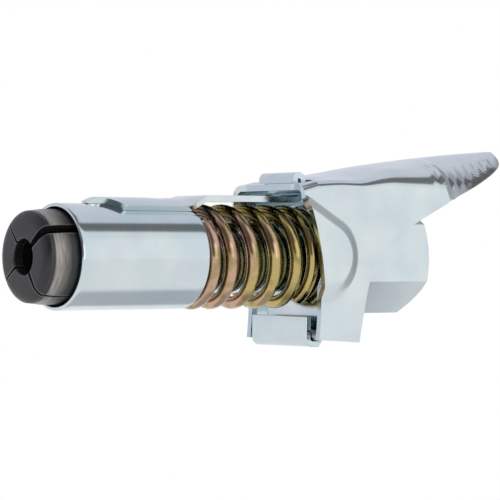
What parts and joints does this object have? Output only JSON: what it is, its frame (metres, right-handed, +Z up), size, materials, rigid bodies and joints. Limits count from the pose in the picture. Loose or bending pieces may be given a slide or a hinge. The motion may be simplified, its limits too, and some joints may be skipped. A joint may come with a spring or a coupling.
{
  "type": "grease coupler",
  "caption": "Locking grease coupler: a spring-loaded sleeve closes gripping jaws on a grease nipple, and a thumb lever draws the sleeve back to let go.",
  "frame": {"origin": "centre of the threaded inlet's mouth on the hexagon's rear face", "axes": "+X along the axis out of the inlet, towards the hose; the jaws point along -X; +Z up, towards the thumb lever's pad; +Y to the far side"},
  "size_m": [0.1044, 0.0238, 0.036],
  "materials": {
    "bright_zinc": "bright zinc plate with a pale blue cast",
    "phosphated_steel": "black phosphated, oiled",
    "yellow_zinc": "yellow chromated zinc, iridescent",
    "ground_steel": "bare steel",
    "brass": "turned",
    "copper": "soft copper",
    "rubber": "moulded nitrile"
  },
  "bodies": {
    "coupler_body": {"hex_body": "bright_zinc", "jaw_carrier": "phosphated_steel", "sealing_washer": "copper", "jaw_spreader_ring": "rubber", "lever_bracket": "bright_zinc", "main_spring": "yellow_zinc", "seal_spring": "ground_steel", "check_spring": "ground_steel"},
    "lever": {"lever": "bright_zinc", "lever_pivot_rod": "ground_steel"},
    "sleeve": {"sleeve": "bright_zinc", "pull_strap": "bright_zinc"},
    "jaw_bottom": {"jaw_bottom": "phosphated_steel"},
    "jaw_far": {"jaw_far": "phosphated_steel"},
    "jaw_top": {"jaw_top": "phosphated_steel"},
    "jaw_near": {"jaw_near": "phosphated_steel"},
    "seal": {"nipple_seal": "rubber", "seal_piston": "brass", "piston_o_ring": "rubber"},
    "check_valve": {"check_ball": "ground_steel"}
  },
  "joints": [
    {"name": "lever_pivot", "type": "hinge", "parent": "coupler_body", "child": "lever", "pos_m": [-0.02565, 0, -0.01395], "axis": [0, 1, 0], "range_deg": [0, 10], "stiffness_Nm_per_rad": 3, "springref_deg": -20.05},
    {"name": "sleeve_slide", "type": "slide", "parent": "coupler_body", "child": "sleeve", "axis": [1, 0, 0], "range_m": [0, 0.0047], "deforming": ["main_spring"]},
    {"name": "jaw_bottom_hinge", "type": "hinge", "parent": "coupler_body", "child": "jaw_bottom", "pos_m": [-0.0624, 0.00097, -0.00551], "axis": [0, -0.9848, -0.1736], "range_deg": [0, 2.6]},
    {"name": "jaw_far_hinge", "type": "hinge", "parent": "coupler_body", "child": "jaw_far", "pos_m": [-0.0624, 0.00555, 0.00078], "axis": [0, 0.1392, -0.9903], "range_deg": [0, 2.6]},
    {"name": "jaw_top_hinge", "type": "hinge", "parent": "coupler_body", "child": "jaw_top", "pos_m": [-0.0624, -0.00054, 0.00557], "axis": [0, 0.9954, 0.0958], "range_deg": [0, 2.6]},
    {"name": "jaw_near_hinge", "type": "hinge", "parent": "coupler_body", "child": "jaw_near", "pos_m": [-0.0624, -0.00546, -0.00126], "axis": [0, -0.225, 0.9744], "range_deg": [0, 2.6]},
    {"name": "seal_slide", "type": "slide", "parent": "coupler_body", "child": "seal", "axis": [1, 0, 0], "range_m": [0, 0.0012], "stiffness_N_per_m": 200, "springref_m": -0.005, "deforming": ["seal_spring"]},
    {"name": "check_lift", "type": "slide", "parent": "coupler_body", "child": "check_valve", "axis": [-1, 0, 0], "range_m": [0, 0.001], "stiffness_N_per_m": 20, "springref_m": -0.004, "deforming": ["check_spring"]}
  ],
  "couplings": [
    {"joint": "sleeve_slide", "follows": "lever_pivot", "m_per_rad": 0.0268},
    {"joint": "jaw_bottom_hinge", "follows": "lever_pivot", "ratio": 0.25},
    {"joint": "jaw_far_hinge", "follows": "lever_pivot", "ratio": 0.25},
    {"joint": "jaw_top_hinge", "follows": "lever_pivot", "ratio": 0.25},
    {"joint": "jaw_near_hinge", "follows": "lever_pivot", "ratio": 0.25}
  ]
}
